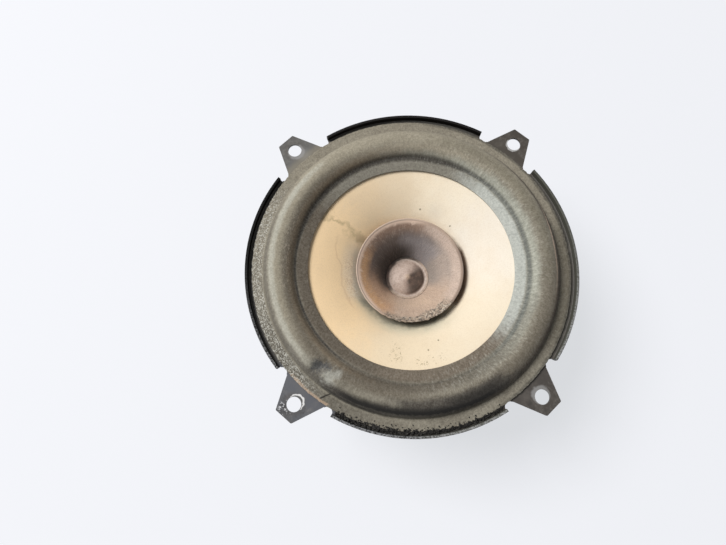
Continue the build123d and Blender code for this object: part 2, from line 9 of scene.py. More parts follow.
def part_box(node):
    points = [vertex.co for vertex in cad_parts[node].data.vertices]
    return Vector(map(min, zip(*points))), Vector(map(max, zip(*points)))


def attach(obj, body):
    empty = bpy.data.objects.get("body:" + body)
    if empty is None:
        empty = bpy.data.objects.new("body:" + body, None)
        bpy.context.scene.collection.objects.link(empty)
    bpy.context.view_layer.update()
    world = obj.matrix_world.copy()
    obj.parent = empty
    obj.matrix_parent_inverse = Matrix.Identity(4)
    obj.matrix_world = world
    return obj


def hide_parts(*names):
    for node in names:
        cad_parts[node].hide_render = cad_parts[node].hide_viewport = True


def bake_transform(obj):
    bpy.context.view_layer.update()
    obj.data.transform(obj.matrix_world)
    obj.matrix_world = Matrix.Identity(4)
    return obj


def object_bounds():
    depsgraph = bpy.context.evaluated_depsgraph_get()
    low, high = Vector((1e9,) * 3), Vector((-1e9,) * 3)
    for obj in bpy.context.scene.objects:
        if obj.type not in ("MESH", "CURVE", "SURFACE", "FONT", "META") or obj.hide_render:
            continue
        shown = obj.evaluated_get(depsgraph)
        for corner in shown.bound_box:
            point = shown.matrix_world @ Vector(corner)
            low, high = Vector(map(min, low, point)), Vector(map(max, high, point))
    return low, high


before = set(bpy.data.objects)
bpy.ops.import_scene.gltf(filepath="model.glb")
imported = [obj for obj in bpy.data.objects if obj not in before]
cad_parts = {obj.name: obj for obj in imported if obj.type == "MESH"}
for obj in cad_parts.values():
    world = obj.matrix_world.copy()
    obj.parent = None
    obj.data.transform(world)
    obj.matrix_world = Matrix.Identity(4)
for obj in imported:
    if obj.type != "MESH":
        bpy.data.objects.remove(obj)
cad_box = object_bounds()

# Dual-cone car loudspeaker. Sizes below are in millimetres in the CAD frame: the origin is the centre
# of the ear holes on the flange's rear face, +Z towards the listener, terminals at -Y.
MM = 0.001
FLOOR_Z = cad_box[0][2] / MM

# ---- Sizes repeated from the CAD model ----
CONE_POINTS = ((9.75, -21.4), (22.0, -8.2), (46.2, 2.2))
CONE_THICKNESS = 0.6
WHIZZER_POINTS = ((9.0, -19.4), (13.2, -11.2), (21.4, -3.7))
WHIZZER_THICKNESS = 0.45
WHIZZER_NECK = (-20.0, -21.6)
FOAM_THICKNESS = 0.8
FOAM_LIFT = 0.15
BAND_INNER = 40.8
ROLL_TOP = (52.0, 7.6)
ROLL_OUTER = 58.0
FOAM_OUTER = 62.6
FLAT_TOP = 1.9
SPIDER_INNER, SPIDER_OUTER = 9.85, 32.8
SPIDER_BOTTOM = -25.3
SPIDER_THICKNESS = 0.5
SPIDER_WAVE_START = 11.2
SPIDER_HALF_WAVE = 2.4
SPIDER_HALF_WAVES = 7
SPIDER_WAVE_HEIGHT = 0.55
LEAD_DIAMETER = 1.0
HOLES = [(x, y) for x in (-46.0, 46.0) for y in (-51.6, 51.6)]

# ---- Sizes of the detail that the CAD model leaves out ----
FOAM_SEGMENTS, CONE_SEGMENTS, WHIZZER_SEGMENTS, CAP_SEGMENTS, SPIDER_SEGMENTS = 900, 480, 600, 240, 300
WHIZZER_RIM = (20.9, 21.3)     # where the turned rim thickens
WHIZZER_RIM_LIFT = 0.1         # by how much
WHIZZER_NOSE = 0.22            # how far the rim's rounded edge stands out
DENT_TURN, DENT_RADIUS, DENT_DEPTH = 227.0, 52.8, 1.7    # the foam's crushed place, azimuth in degrees
FOOT_LINE_RADIUS, FOOT_LINE_HEIGHT = 58.2, 0.03
FOOT_TONE_RADIUS = 58.15
VALLEY_RADIUS = 45.9
CAP_PROFILE = (                # radius, depth below the crown
    (0.0, 0.0), (0.5, 0.06), (1.3, 0.24), (3.2, 0.68), (5.2, 1.14), (6.4, 1.5), (7.1, 1.98), (7.5, 2.24),
    (7.8, 2.1), (8.3, 1.92), (8.9, 1.9), (9.2, 1.82),
)
BRAID_SIDES, BRAID_STRANDS, BRAID_PITCH = 36, 3, 3.6
CRUMB_ARC, CRUMB_STEP = (241.2, 299.0), 0.36             # along the bottom lip, in degrees
STRAY_CRUMBS = 200
CRUMB_CORNERS = (
    (0, 0, 1), (0, 0, -1), (1, 0, 0.4), (-1, 0.2, 0.5), (0.2, 1, 0.5), (0.1, -1, 0.4),
    (0.7, 0.7, -0.5), (-0.7, 0.8, -0.4), (-0.7, -0.7, -0.5), (0.8, -0.7, -0.5),
)
STREAK_RING = 50.0             # radius of the ring on which radial streaks are laid out

# The leads' routes from the terminal's solder to the back of the eyelet, in metres.
ROUTES = {
    "positive_lead": [
        (0.00689, -0.038387, -0.0223), (0.006925, -0.038583, -0.0174), (0.006537, -0.036418, -0.013),
        (0.005759, -0.032087, -0.0126), (0.005106, -0.028445, -0.0162), (0.004558, -0.025394, -0.0194),
        (0.003604, -0.020079, -0.0193), (0.003068, -0.017095, -0.014878),
    ],
    "negative_lead": [
        (-0.00689, -0.038387, -0.0223), (-0.006908, -0.038485, -0.017), (-0.006607, -0.036812, -0.0126),
        (-0.00583, -0.032481, -0.0119), (-0.005123, -0.028544, -0.0156), (-0.004593, -0.025591, -0.019),
        (-0.003639, -0.020276, -0.0195), (-0.003068, -0.017095, -0.014878),
    ],
}


# ---- Camera, floor and light ----

CAMERA_PLACE = (-19.3, -52.3, 196.5)
CAMERA_TURNS = ((1.7, "Z"), (0.1, "Y"), (-14.4, "X"))   # degrees
SENSOR_WIDTH = 36.0
LENS = 25.44
WINDOW_PLACE = (-1.64, 0.8, 2.36)                        # metres
WINDOW_SIZE, WINDOW_WATTS = 1.7, 118.0


def new_object(name, data):
    made = bpy.data.objects.new(name, data)
    bpy.context.collection.objects.link(made)
    return made


def add_camera():
    """The photograph's viewpoint: close above the speaker, a little low and to the left."""
    data = bpy.data.cameras.new("camera")
    data.sensor_width = SENSOR_WIDTH
    data.lens = LENS
    data.clip_start = 0.01
    camera = new_object("camera", data)
    turn = Matrix()
    for angle, axis in CAMERA_TURNS:
        turn = turn @ Matrix.Rotation(radians(angle), 4, axis)
    camera.matrix_world = Matrix.Translation(Vector(CAMERA_PLACE) * MM) @ turn.transposed()
    bpy.context.scene.camera = camera


def add_stage():
    """Pale floor, pale surroundings and one broad soft light from the upper left."""
    bpy.ops.mesh.primitive_plane_add(size=6.0, location=(0, 0, FLOOR_Z * MM))
    floor = bpy.context.object
    floor.name = "floor"
    shade = Shade("floor", rough=0.8, tone=(0.18, 0.18, 0.2), Emission_Strength=0.68)
    shade.join("Emission Color", (0.95, 0.97, 1.0))
    floor.data.materials.append(shade.painted())
    world = bpy.data.worlds.new("surroundings")
    bpy.context.scene.world = world
    world.use_nodes = True
    background = world.node_tree.nodes["Background"]
    background.inputs["Color"].default_value = (0.93, 0.96, 1.0, 1)
    background.inputs["Strength"].default_value = 0.26
    data = bpy.data.lights.new("window", "AREA")
    data.shape = "DISK"
    data.size = WINDOW_SIZE
    data.energy = WINDOW_WATTS
    data.color = (1.0, 0.98, 0.95)
    light = new_object("window", data)
    light.location = WINDOW_PLACE
    light.rotation_euler = (-Vector(WINDOW_PLACE)).to_track_quat("-Z", "Y").to_euler()
    bpy.context.scene.view_settings.view_transform = "Standard"


# ---- Materials ----

class Shade:
    """A node material on one Principled shader, in object coordinates scaled to millimetres.

    Its tone starts as a plain colour or as ground() leaves it, paint() and zones() lay more over it,
    and painted() joins it to the shader. A mask is a number or a socket from 0 to 1.
    """

    def __init__(self, name, rough=0.6, metal=0.0, tone=None, **sockets):
        self.material = bpy.data.materials.new(name)
        self.material.use_nodes = True
        self.tree = self.material.node_tree
        self.shader = self.tree.nodes["Principled BSDF"]
        self.shader.inputs["Roughness"].default_value = rough
        self.shader.inputs["Metallic"].default_value = metal
        for socket, value in sockets.items():
            self.shader.inputs[socket.replace("_", " ")].default_value = value
        coords = self.add("ShaderNodeTexCoord", {}, "Object")
        self.at = self.add("ShaderNodeVectorMath", {0: coords, "Scale": 1 / MM}, operation="SCALE")
        self.x, self.y, self.z = (self.add("ShaderNodeSeparateXYZ", {0: self.at}, axis) for axis in range(3))
        self.radius = self.length(self.x, self.y)
        self.turn = self.math("ARCTAN2", self.y, self.x)
        self.tone = tone
        self.bumps = None

    # -- nodes --

    def add(self, kind, inputs, output=0, **settings):
        """A new node with its settings and inputs; returns one of its outputs."""
        node = self.tree.nodes.new(kind)
        for key, value in settings.items():
            setattr(node, key, value)
        for socket, value in inputs.items():
            self.link(value, node.inputs[socket])
        return node.outputs[output]

    def link(self, source, target):
        """Join a socket, or set a number, a vector or a colour without its alpha."""
        if hasattr(source, "is_output"):
            self.tree.links.new(source, target)
        elif isinstance(source, tuple):
            target.default_value = (*source, 1)[:len(target.default_value)]
        else:
            target.default_value = source

    def math(self, operation, a, b=0.0):
        return self.add("ShaderNodeMath", {0: a, 1: b}, operation=operation)

    def times(self, *masks):
        product = masks[0]
        for mask in masks[1:]:
            product = self.math("MULTIPLY", product, mask)
        return product

    def most(self, *masks):
        top = masks[0]
        for mask in masks[1:]:
            top = self.math("MAXIMUM", top, mask)
        return top

    def plus(self, a, b):
        return self.math("ADD", a, b)

    def minus(self, a, b):
        return self.math("SUBTRACT", a, b)

    def apart(self, a, b):
        return self.math("ABSOLUTE", self.minus(a, b))

    def length(self, a, b):
        return self.math("SQRT", self.plus(self.math("POWER", a, 2.0), self.math("POWER", b, 2.0)))

    def ease(self, value, low, high, to_low=0.0, to_high=1.0):
        """Smooth step of a value from one range to another."""
        inputs = dict(enumerate((value, low, high, to_low, to_high)))
        return self.add("ShaderNodeMapRange", inputs, interpolation_type="SMOOTHSTEP", clamp=True)

    def fade(self, value, low, high):
        """1 below low, 0 above high."""
        return self.ease(value, low, high, 1.0, 0.0)

    def mix(self, amount, a, b):
        return self.add("ShaderNodeMix", {0: amount, 6: a, 7: b}, 2, data_type="RGBA")

    # -- places and patterns --

    def noise(self, per_mm, detail=2.0, rough=0.5, distortion=0.0, at=None, seed=0.0):
        inputs = {
            "Vector": at or self.at, "W": seed, "Scale": per_mm, "Detail": detail, "Roughness": rough,
            "Distortion": distortion,
        }
        return self.add("ShaderNodeTexNoise", inputs, "Fac", noise_dimensions="4D")

    def stray(self, amount, *noise, seed):
        """Noise around zero, for moving a border by up to about half the amount each way."""
        return self.times(self.minus(self.noise(*noise, seed=seed), 0.5), amount)

    def around(self, along):
        """Coordinates that follow a ring, with the radius times a share as the third."""
        x, y = (self.times(self.math(wave, self.turn), STREAK_RING) for wave in ("COSINE", "SINE"))
        return self.add("ShaderNodeCombineXYZ", {0: x, 1: y, 2: self.times(self.radius, along)})

    def facing(self, angle, inner, outer, warp=0.0):
        """1 within inner degrees of an azimuth, 0 beyond outer degrees."""
        away = self.math("COSINE", self.minus(self.plus(self.turn, warp), radians(angle)))
        return self.ease(away, cos(radians(outer)), cos(radians(inner)))

    def band(self, value, low, high, soft):
        """1 between two values, fading out over soft on both sides."""
        rise = self.ease(value, low - soft, low + soft)
        return self.times(rise, self.fade(value, high - soft, high + soft))

    def spot(self, x, y, inner, outer, warp=0.0):
        """1 within inner of an upright line through (x, y), 0 beyond outer."""
        away = self.length(self.minus(self.x, x), self.minus(self.y, y))
        return self.fade(self.plus(away, warp), inner, outer)

    # -- the tone --

    def ground(self, value, low, high, first, second):
        """Start the tone as a blend of two colours by a value."""
        self.tone = self.mix(self.ease(value, low, high), first, second)

    def paint(self, color, *masks):
        """Lay a colour over the tone, by the product of the masks."""
        self.tone = self.mix(self.times(*masks), self.tone, color)

    def zones(self, rows, ragged):
        """Lay areas of a ring over the tone, with borders that are ragged by so many millimetres.

        Each row is a radius range, its softness, an azimuth with the half angles where the area is
        full and where it ends, an amount and a colour.
        """
        wander = self.minus(self.noise(0.22, 4.0, 0.6, seed=7.0), 0.5)
        radius = self.plus(self.radius, self.times(wander, 2.0 * ragged))
        for low, high, soft, azimuth, full, end, amount, color in rows:
            mask = self.band(radius, low, high, soft)
            if end < 180.0:
                mask = self.times(mask, self.facing(azimuth, full, end, self.times(wander, 0.5)))
            self.paint(color, mask, amount)

    def painted(self):
        self.join("Base Color", self.tone)
        return self.material

    # -- the shader's sockets --

    def join(self, socket, value):
        self.link(value, self.shader.inputs[socket])

    def bump(self, height, depth_mm, strength):
        """Add relief to what earlier calls made."""
        inputs = {"Strength": strength, "Distance": depth_mm * MM, "Height": height}
        if self.bumps:
            inputs["Normal"] = self.bumps
        self.bumps = self.add("ShaderNodeBump", inputs)
        self.join("Normal", self.bumps)


FOAM_ZONES = (
    # the band that lies on the cone: dark olive, with painted highlight, pale and bluish, at the right where
    # it faces the light
    (30, 44.9, 0.8, 0, 180, 180, 1, (0.084, 0.066, 0.047)),
    (30, 44.9, 0.8, 90, 35, 60, 0.8, (0.2, 0.19, 0.158)),
    (30, 44.9, 0.8, 290, 24, 50, 0.8, (0.145, 0.115, 0.085)),
    (30, 44.9, 0.8, 8, 32, 58, 1, (0.44, 0.46, 0.43)),
    # the roll's inner side: painted highlight at the right, painted shade darker at the left
    (45.5, 48.6, 1.6, 12, 40, 90, 0.95, (0.35, 0.36, 0.31)),
    (47.5, 50.5, 1.6, 95, 22, 60, 0.7, (0.31, 0.27, 0.2)),
    (46, 48.6, 1.2, 180, 58, 90, 0.85, (0.205, 0.157, 0.104)),
    (48.4, 51.6, 1.2, 190, 62, 95, 0.85, (0.11, 0.089, 0.064)),
    (45.5, 49, 1.6, 275, 20, 50, 0.75, (0.075, 0.06, 0.044)),
    (45.5, 48.6, 1.2, 315, 14, 34, 0.6, (0.14, 0.13, 0.105)),
    # the roll's top and outer side: painted highlight on the outer side at the left, painted shade at the
    # right and the lower right, near black at the bottom
    (50, 57.6, 1.8, 115, 78, 108, 0.85, (0.28, 0.25, 0.187)),
    (53, 55.6, 0.9, 176, 32, 56, 0.9, (0.37, 0.36, 0.305)),
    (55.6, 57.8, 0.9, 198, 26, 60, 0.75, (0.1, 0.09, 0.075)),
    (50.5, 57.6, 1.6, 318, 20, 56, 0.75, (0.105, 0.085, 0.06)),
    (50.5, 54.6, 1.6, 35, 24, 50, 0.6, (0.13, 0.115, 0.08)),
    (55.9, 58.1, 0.9, 352, 40, 72, 0.9, (0.07, 0.052, 0.034)),
    (54.6, 57.4, 1.2, 268, 30, 48, 0.95, (0.028, 0.022, 0.017)),
    (51.4, 56, 1.3, 283, 13, 30, 0.9, (0.035, 0.028, 0.023)),
    # the outer flat
    (58.6, 70, 0.6, 80, 90, 120, 0.6, (0.24, 0.213, 0.163)),
    (58.6, 70, 0.6, 224, 12, 34, 0.9, (0.105, 0.094, 0.074)),
    (58.6, 70, 0.6, 350, 16, 32, 0.8, (0.085, 0.074, 0.052)),
    (61.6, 70, 0.4, 10, 62, 80, 0.75, (0.05, 0.045, 0.035)),
    (61.4, 70, 0.3, 229, 7, 9, 0.8, (0.42, 0.3, 0.21)),
)


def foam_material():
    """Old open-cell foam: khaki, speckled, with grey and brown areas and a worn outer flat; painted
    highlights and painted shade lie on the roll, its valley and the crushed place.
    """
    shade = Shade("foam", rough=0.95)
    radius = shade.radius
    grain = shade.noise(1.5, 3, 0.8, seed=1)
    fine = shade.noise(2.4, 2, 0.8, seed=2)
    patches = shade.noise(0.12, 3, 0.6, seed=3)
    streaks = shade.noise(1.5, 3, 0.65, at=shade.around(0.4), seed=6)
    shade.ground(patches, 0.35, 0.65, (0.165, 0.148, 0.115), (0.225, 0.205, 0.162))
    shade.zones(FOAM_ZONES, 1)
    # Painted shade in the valley beside the cone: a crisp dark line at the top, thin at the left, faint at
    # the bottom.
    half = shade.plus(0.42, shade.times(shade.facing(110, 34, 62), 0.5))
    half = shade.plus(half, shade.times(shade.facing(0, 30, 60), 0.2))
    middle = shade.minus(VALLEY_RADIUS, shade.times(shade.facing(160, 80, 115), 0.45))
    valley_shade = shade.fade(shade.apart(radius, middle), shade.times(half, 0.3), shade.times(half, 1.9))
    depth = shade.ease(shade.facing(275, 20, 55), 0, 1, 0.96, 0.4)
    valley_shade_tone = shade.mix(shade.facing(0, 30, 70), (0.02, 0.016, 0.013), (0.12, 0.13, 0.12))
    shade.paint(valley_shade_tone, valley_shade, depth)
    # A thin line at the roll's outer foot, further in at the right.
    foot = shade.minus(FOOT_TONE_RADIUS, shade.times(shade.facing(-12, 12, 46), 2.7))
    line = shade.fade(shade.apart(radius, foot), 0.15, 0.45)
    shade.paint((0.47, 0.35, 0.265), line, shade.facing(50, 45, 72), 0.75)
    # The crushed place at the lower left: painted shade in its hollow, and paler patches beside it, dust
    # brightened as painted highlight.
    ragged = shade.stray(7, 0.55, 4, 0.65, seed=4)
    hollow_shade = shade.most(shade.spot(-36.4, -38.6, 0.8, 3.8, ragged), shade.spot(-33.6, -38.9, 0.4, 3, ragged))
    dusty = shade.most(shade.spot(-32.4, -42.4, 0.8, 4, ragged), shade.spot(-29.6, -41.2, 0.2, 3, ragged))
    shade.paint((0.4, 0.4, 0.36), dusty, 0.7)
    shade.paint((0.035, 0.038, 0.045), hollow_shade, 0.9)
    # Dusty creases across the roll at the left.
    thin = shade.noise(0.9, 3, 0.7, at=shade.around(3), seed=8)
    creased = shade.times(shade.band(radius, 46.8, 50.4, 1), shade.facing(172, 12, 24))
    shade.paint((0.42, 0.36, 0.29), creased, shade.ease(thin, 0.54, 0.6), 0.5)
    # Grain everywhere, streaks along the radius, most at the right, and salt and pepper where it is worn.
    speckle = shade.ease(grain, 0.35, 0.65)
    darker = shade.mix(0.26, shade.tone, (0.03, 0.026, 0.02))
    lighter = shade.mix(0.08, shade.tone, (0.62, 0.6, 0.52))
    shade.tone = shade.mix(speckle, darker, lighter)
    brushed = shade.times(shade.band(radius, 41, 51, 1.5), shade.facing(355, 55, 100))
    contrast = shade.plus(0.07, shade.times(brushed, 0.17))
    shade.paint((0.03, 0.03, 0.025), shade.ease(streaks, 0.5, 0.68), contrast)
    shade.paint((0.75, 0.76, 0.7), shade.fade(streaks, 0.32, 0.5), contrast, 0.6)
    flat = shade.ease(radius, 58, 59.2)
    worn = shade.times(flat, shade.facing(188, 26, 50))
    pits = shade.ease(shade.noise(1.3, 3, 0.75, seed=5), 0.5, 0.6)
    shade.paint((0.035, 0.03, 0.024), flat, pits, shade.ease(worn, 0, 1, 0.22, 0.55))
    shade.paint((0.6, 0.6, 0.55), worn, shade.ease(fine, 0.5, 0.6), 0.7)
    # Painted shade, near black, along the roll's lower outer foot, and a small tear beside the crushed
    # place.
    uneven = shade.plus(radius, shade.times(ragged, 0.22))
    painted_foot_shade = shade.times(shade.band(uneven, 54.6, 56.9, 1.2), shade.facing(272, 22, 38))
    tail = shade.times(shade.band(uneven, 57, 57.9, 0.6), shade.facing(243, 6, 14), 0.8)
    patch = shade.times(shade.band(uneven, 52.4, 56, 1.6), shade.facing(292, 5, 15), 0.75)
    core = shade.times(shade.band(uneven, 55.3, 56.9, 0.5), shade.facing(270, 26, 36))
    along = shade.plus(shade.times(shade.x, 0.925), shade.times(shade.y, 0.38))
    across = shade.minus(shade.times(shade.y, 0.925), shade.times(shade.x, 0.38))
    across = shade.plus(across, shade.times(ragged, 0.15))
    tear = shade.times(shade.band(along, -52.5, -47.9, 0.5), shade.band(across, -32.5, -31.95, 0.3))
    shade.paint((0.009, 0.008, 0.007), shade.most(shade.times(painted_foot_shade, 0.88), tail, patch, core, tear), 0.95)
    shade.bump(grain, 0.12, 0.5)
    shade.bump(fine, 0.08, 0.4)
    return shade.painted()


PAPER_ZONES = (
    (22, 60, 2, 0, 40, 100, 0.95, (0.72, 0.67, 0.59)),
    (22, 60, 2, 290, 25, 75, 0.8, (0.69, 0.6, 0.455)),
    (22, 60, 2, 75, 8, 46, 0.7, (0.78, 0.7, 0.56)),
    (24, 60, 2, 108, 2, 36, 0.6, (0.64, 0.52, 0.37)),
    (0, 26.4, 3.6, 180, 20, 36, 0.55, (0.68, 0.62, 0.52)),
    # painted shade under the whizzer at the left and the bottom, over a greenish grime tint
    (0, 23.6, 1.2, 190, 24, 46, 0.7, (0.33, 0.34, 0.31)),
    (0, 25.8, 2.6, 256, 34, 66, 0.6, (0.42, 0.42, 0.33)),
    (0, 23.5, 1.6, 258, 40, 64, 0.85, (0.12, 0.13, 0.108)),
    (0, 24.5, 1.4, 90, 60, 110, 0.25, (0.5, 0.38, 0.26)),
)

# Painted shadow of the whizzer: a dark crescent on the cone at its right, with a smoother border than the
# other areas.
PAINTED_WHIZZER_SHADOW = ((0, 23.8, 0.55, 352, 24, 38, 0.92, (0.1, 0.047, 0.024)),)

# Specks on the paper: azimuth in degrees, distance from the axis, size.
PAPER_SPECKS = ((46, 25.6, 0.45), (77.5, 26.6, 0.5), (279, 33.3, 0.45), (288, 30.6, 0.45))


def paper_material():
    """Cream pulp cone, yellowed on the left, with a water stain and specks, greenish grime with painted
    shade under the whizzer, and the whizzer's painted shadow beside it.
    """
    shade = Shade("cone_paper", rough=0.85, tone=(0.83, 0.62, 0.375), Sheen_Weight=0.1)
    radius = shade.radius
    fibre = shade.noise(2.2, 3, 0.7, seed=11)
    cloud = shade.noise(0.09, 4, 0.6, seed=12)
    shade.zones(PAPER_ZONES, 2.5)
    shade.zones(PAINTED_WHIZZER_SHADOW, 0.3)
    smudge = shade.spot(12, 24, 1, 7, shade.times(shade.noise(0.2, 2, seed=13), 3))
    shade.paint((0.5, 0.46, 0.42), smudge, 0.25)
    shade.paint((0.6, 0.46, 0.3), shade.ease(cloud, 0.4, 0.7, 0, 0.16))
    shade.paint((0.45, 0.34, 0.22), shade.ease(fibre, 0.4, 0.75, 0, 0.24))
    # The water stain: a ragged brown tide line and a fainter one beside it.
    wander = shade.stray(0.36, 0.26, 4, 0.62, seed=14)
    line = shade.apart(shade.plus(shade.turn, wander), radians(145))
    width = shade.ease(radius, 22, 36, 0.11, 0.05)
    stain = shade.minus(1, shade.math("DIVIDE", line, width))
    uneven = shade.ease(shade.noise(0.5, 3, 0.6, seed=18), 0.3, 0.6, 0.45, 1)
    shade.paint((0.35, 0.275, 0.15), stain, uneven, 0.62)
    shade.paint((0.36, 0.27, 0.17), shade.spot(-18.9, 14.6, 0.5, 3.6, shade.times(wander, 26)), 0.5)
    arc = shade.plus(radius, shade.times(shade.noise(0.25, 3, seed=15), 3))
    arc = shade.plus(arc, shade.times(shade.facing(150, 2, 26), -4.5))
    shade.paint((0.48, 0.3, 0.18), shade.band(arc, 28.9, 29.3, 0.5), shade.facing(184, 24, 34), 0.42)
    rubbed = shade.times(shade.band(radius, 22.6, 27, 1.6), shade.facing(185, 14, 26))
    thin = shade.noise(1.1, 3, 0.7, at=shade.around(3.5), seed=19)
    shade.paint((0.4, 0.26, 0.17), rubbed, shade.ease(thin, 0.52, 0.6), 0.55)
    shade.paint((0.85, 0.8, 0.7), rubbed, shade.fade(thin, 0.4, 0.46), 0.5)
    for angle, distance, size in PAPER_SPECKS:
        place = radians(angle)
        speck = shade.spot(distance * cos(place), distance * sin(place), 0.4 * size, size)
        shade.paint((0.1, 0.09, 0.04), speck, 0.75)
    scratches = shade.times(shade.facing(258, 2, 5), shade.band(radius, 30, 38.5, 0.6))
    scratches = shade.times(scratches, shade.ease(shade.noise(0.9, 3, 0.7, 1.5, seed=16), 0.56, 0.62))
    specks = shade.times(shade.facing(279, 8, 12), shade.band(radius, 35.5, 39, 0.6))
    specks = shade.times(specks, shade.ease(shade.noise(1.3, 3, 0.7, seed=17), 0.58, 0.64))
    shade.paint((0.24, 0.19, 0.09), shade.most(scratches, specks), 0.75)
    shade.bump(fibre, 0.08, 0.5)
    shade.bump(cloud, 0.5, 0.3)
    return shade.painted()


WHIZZER_ZONES = (
    (0, 30, 0.5, 30, 30, 66, 0.85, (0.34, 0.285, 0.25)),
    (17.5, 30, 1.4, 15, 40, 72, 0.9, (0.5, 0.39, 0.325)),
    (0, 30, 0.5, 205, 24, 50, 0.85, (0.5, 0.3, 0.18)),
    # painted shade on the upper left side
    (0, 30, 0.5, 128, 40, 74, 0.92, (0.24, 0.152, 0.108)),
    (0, 15, 2, 265, 30, 50, 0.3, (0.7, 0.52, 0.37)),
    (0, 12.4, 2.4, 14, 26, 50, 0.5, (0.17, 0.16, 0.148)),
    # painted shade in the throat at the upper left
    (0, 17.2, 2.4, 112, 46, 80, 0.9, (0.1, 0.08, 0.072)),
    (0, 16, 2.4, 66, 22, 44, 0.75, (0.25, 0.232, 0.24)),
    (16.9, 20, 1.6, 192, 28, 52, 0.8, (0.56, 0.32, 0.155)),
    # painted shade: the throat near black at the upper left
    (0, 12.5, 2.2, 146, 46, 84, 0.95, (0.02, 0.014, 0.011)),
)


def whizzer_material():
    """Faded brown paper horn with a crumbling speckled lower rim; painted shade makes the throat black at
    the upper left.
    """
    shade = Shade("whizzer_paper", rough=0.8, tone=(0.46, 0.34, 0.258), Sheen_Weight=0.1)
    radius = shade.radius
    fibre = shade.noise(2.2, 3, 0.75, seed=21)
    shade.zones(WHIZZER_ZONES, 1)
    shade.paint((0.09, 0.065, 0.05), shade.ease(fibre, 0.36, 0.7, 0, 0.35))
    dusty = shade.ease(shade.noise(0.6, 4, 0.65, seed=24), 0.5, 0.72, 0, 0.2)
    dusty = shade.times(dusty, shade.ease(radius, 12, 18))
    shade.paint((0.6, 0.52, 0.45), dusty)
    hairs = shade.noise(1.5, 3, 0.7, at=shade.around(0.35), seed=26)
    shade.paint((0.07, 0.055, 0.05), shade.ease(hairs, 0.5, 0.68, 0, 0.28))
    shade.paint((0.7, 0.6, 0.52), shade.ease(hairs, 0.5, 0.32, 0, 0.14))
    # Painted highlight on the rim on its side towards the light, and painted shade on the rim at the right.
    painted_lit_side = shade.facing(150, 68, 94)
    rim = shade.mix(painted_lit_side, (0.34, 0.25, 0.19), (0.66, 0.5, 0.4))
    rough_edge = shade.plus(radius, shade.times(shade.minus(dusty, 0.1), 4))
    shade.paint(rim, shade.ease(rough_edge, 19.7, 21, 0, 0.75))
    shade.paint(rim, shade.ease(rough_edge, 18.9, 20.3), painted_lit_side, 0.85)
    shade.paint((0.4, 0.31, 0.25), shade.ease(radius, 20.75, 21), painted_lit_side, 0.8)
    shade.paint((0.14, 0.1, 0.08), shade.ease(radius, 20.4, 21), shade.facing(340, 30, 60), 0.6)
    wander = shade.stray(3, 0.6, 3, 0.6, seed=22)
    wander = shade.plus(wander, shade.times(shade.facing(302, 16, 28), 1.3))
    fringe = shade.times(shade.ease(shade.plus(radius, wander), 18.9, 19.9), shade.facing(279, 30, 46))
    shade.paint((0.29, 0.235, 0.18), fringe, 0.6)
    specks = shade.ease(shade.noise(1.2, 4, 0.78, seed=23), 0.49, 0.56)
    crumbs = shade.ease(shade.noise(1.1, 3, 0.8, seed=25), 0.53, 0.59)
    shade.paint((0.7, 0.64, 0.54), fringe, crumbs, 0.55)
    shade.paint((0.06, 0.05, 0.042), fringe, specks, 0.85)
    shade.bump(fibre, 0.1, 0.6)
    shade.bump(shade.times(fringe, specks), 0.2, 0.6)
    return shade.painted()


CAP_ZONES = (
    # painted shade on the dome's right half and painted highlight on its left half
    (0.8, 7.4, 0.7, 335, 40, 96, 0.95, (0.05, 0.034, 0.026)),
    (0, 7.4, 0.5, 150, 40, 90, 0.4, (0.55, 0.44, 0.38)),
    (8.4, 20, 0.2, 0, 180, 180, 0.9, (0.36, 0.28, 0.22)),
    # painted shadow on the flange ring at the upper left and the left
    (8.3, 20, 0.25, 116, 46, 84, 0.95, (0.03, 0.024, 0.02)),
    (7.8, 20, 0.4, 170, 34, 58, 0.85, (0.04, 0.026, 0.02)),
)


def cap_material():
    """Doped paper dust cap, dusty mauve-brown with a pale flange ring; painted shade darkens the dome's
    right half and a painted highlight lightens its left half.
    """
    shade = Shade("cap_paper", rough=0.55, Specular_IOR_Level=0.35)
    radius = shade.radius
    grain = shade.noise(1.8, 3, 0.7, seed=31)
    shade.ground(radius, 7.4, 7.7, (0.4, 0.31, 0.26), (0.43, 0.35, 0.3))
    shade.zones(CAP_ZONES, 0.4)
    shade.paint((0.42, 0.3, 0.2), shade.ease(radius, 0.2, 2, 0.5, 0))
    shade.paint((0.2, 0.13, 0.1), shade.ease(shade.noise(0.5, 3, 0.6, seed=32), 0.45, 0.65, 0, 0.35))
    shade.paint((0.07, 0.05, 0.04), shade.ease(grain, 0.4, 0.7, 0, 0.3))
    shade.bump(grain, 0.07, 0.5)
    return shade.painted()


# What each ear's paint has faded to: the hole's place and a colour.
EAR_TONES = (
    (46, 51.6, (0.058, 0.05, 0.042)), (-46, 51.6, (0.092, 0.09, 0.087)),
    (-46, -51.6, (0.075, 0.079, 0.093)), (46, -51.6, (0.058, 0.051, 0.046)),
)

# Bare or dusty spots beside the ear holes: place, radius, softness, share, brightness.
CHIPS = (
    (-45, -50.8, 2.9, 0.25, 0.95, 0.64), (-45.45, -51.2, 2.72, 0.2, 0.9, 0.015),
    (45.4, -50.9, 2.9, 1, 0.4, 0.4), (-45.4, 50.9, 2.9, 1.1, 0.35, 0.4),
    (45.55, 51.15, 2.85, 0.3, 0.6, 0.5), (-42.4, 50, 0.6, 4, 0.25, 0.26),
)


